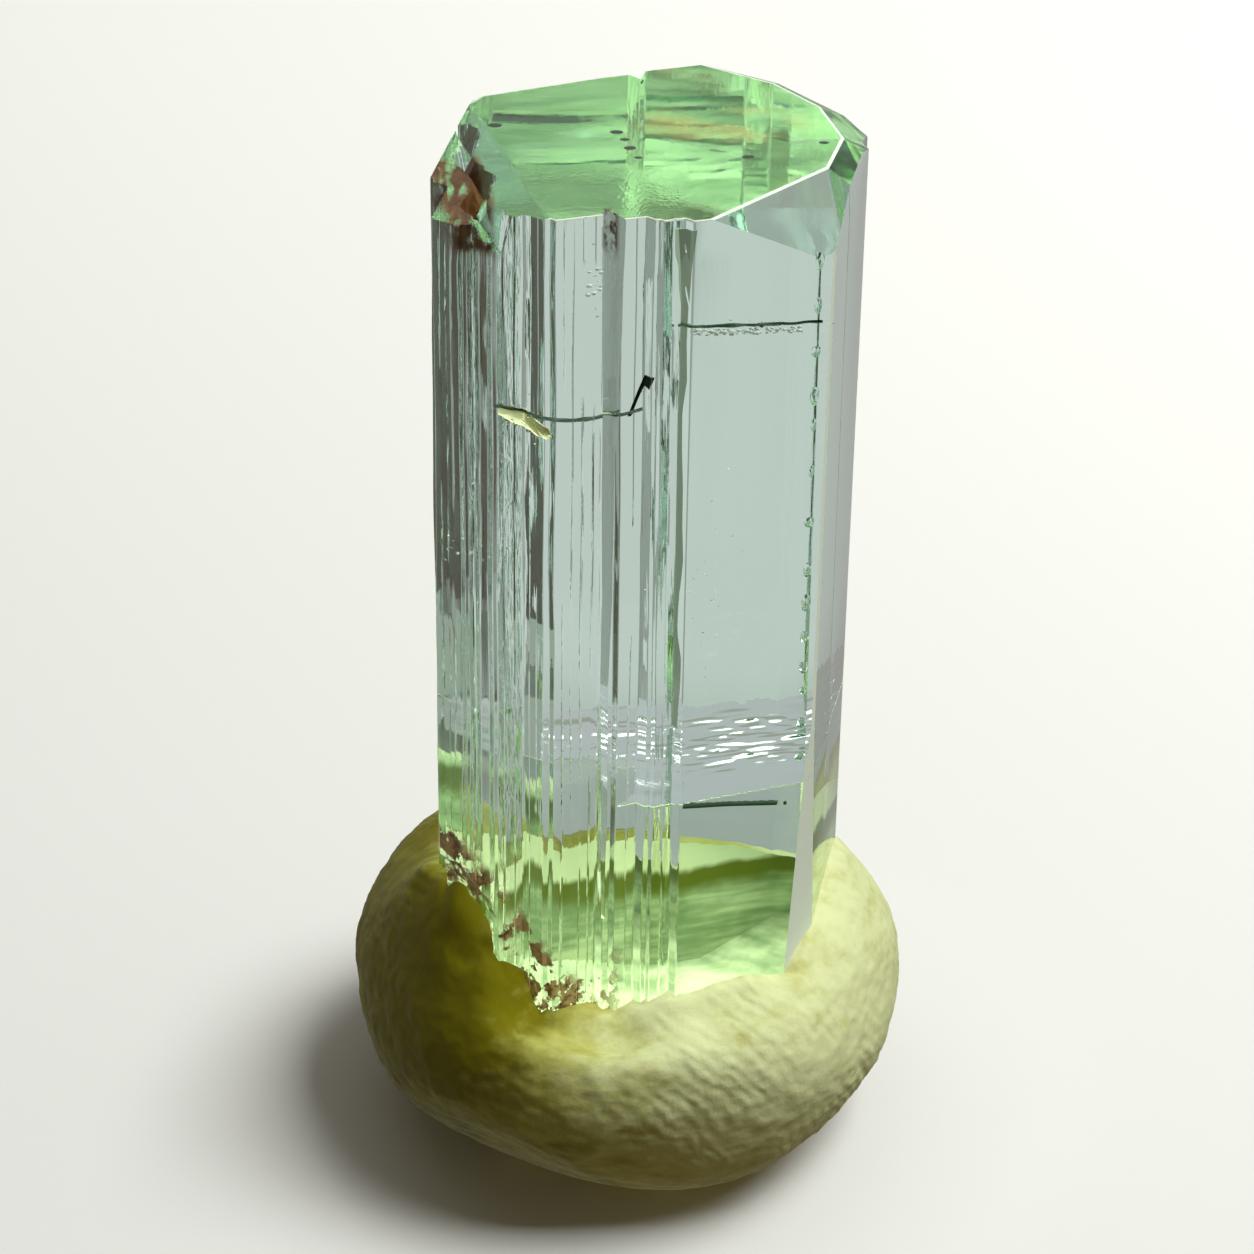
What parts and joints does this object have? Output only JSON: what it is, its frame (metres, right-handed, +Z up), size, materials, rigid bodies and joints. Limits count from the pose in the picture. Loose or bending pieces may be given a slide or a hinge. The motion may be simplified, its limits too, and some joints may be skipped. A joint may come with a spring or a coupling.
{
  "type": "aquamarine crystal specimen",
  "caption": "Rough upright hexagonal aquamarine crystal, ribbed on one side and flat on top, held in a pinched lump of display putty.",
  "frame": {"origin": "middle of the footprint, on the flat underside of the putty", "axes": "+Z up along the crystal; the crystal's broad smooth face and the pressed-down side of the putty towards -Y"},
  "size_m": [0.0232, 0.0228, 0.0434],
  "materials": {
    "crystal": "clear pale green-blue beryl, natural faces",
    "putty": "satin yellow-green putty with finger marks"
  },
  "bodies": {
    "root": {"crystal": "crystal", "putty": "putty"}
  },
  "joints": []
}
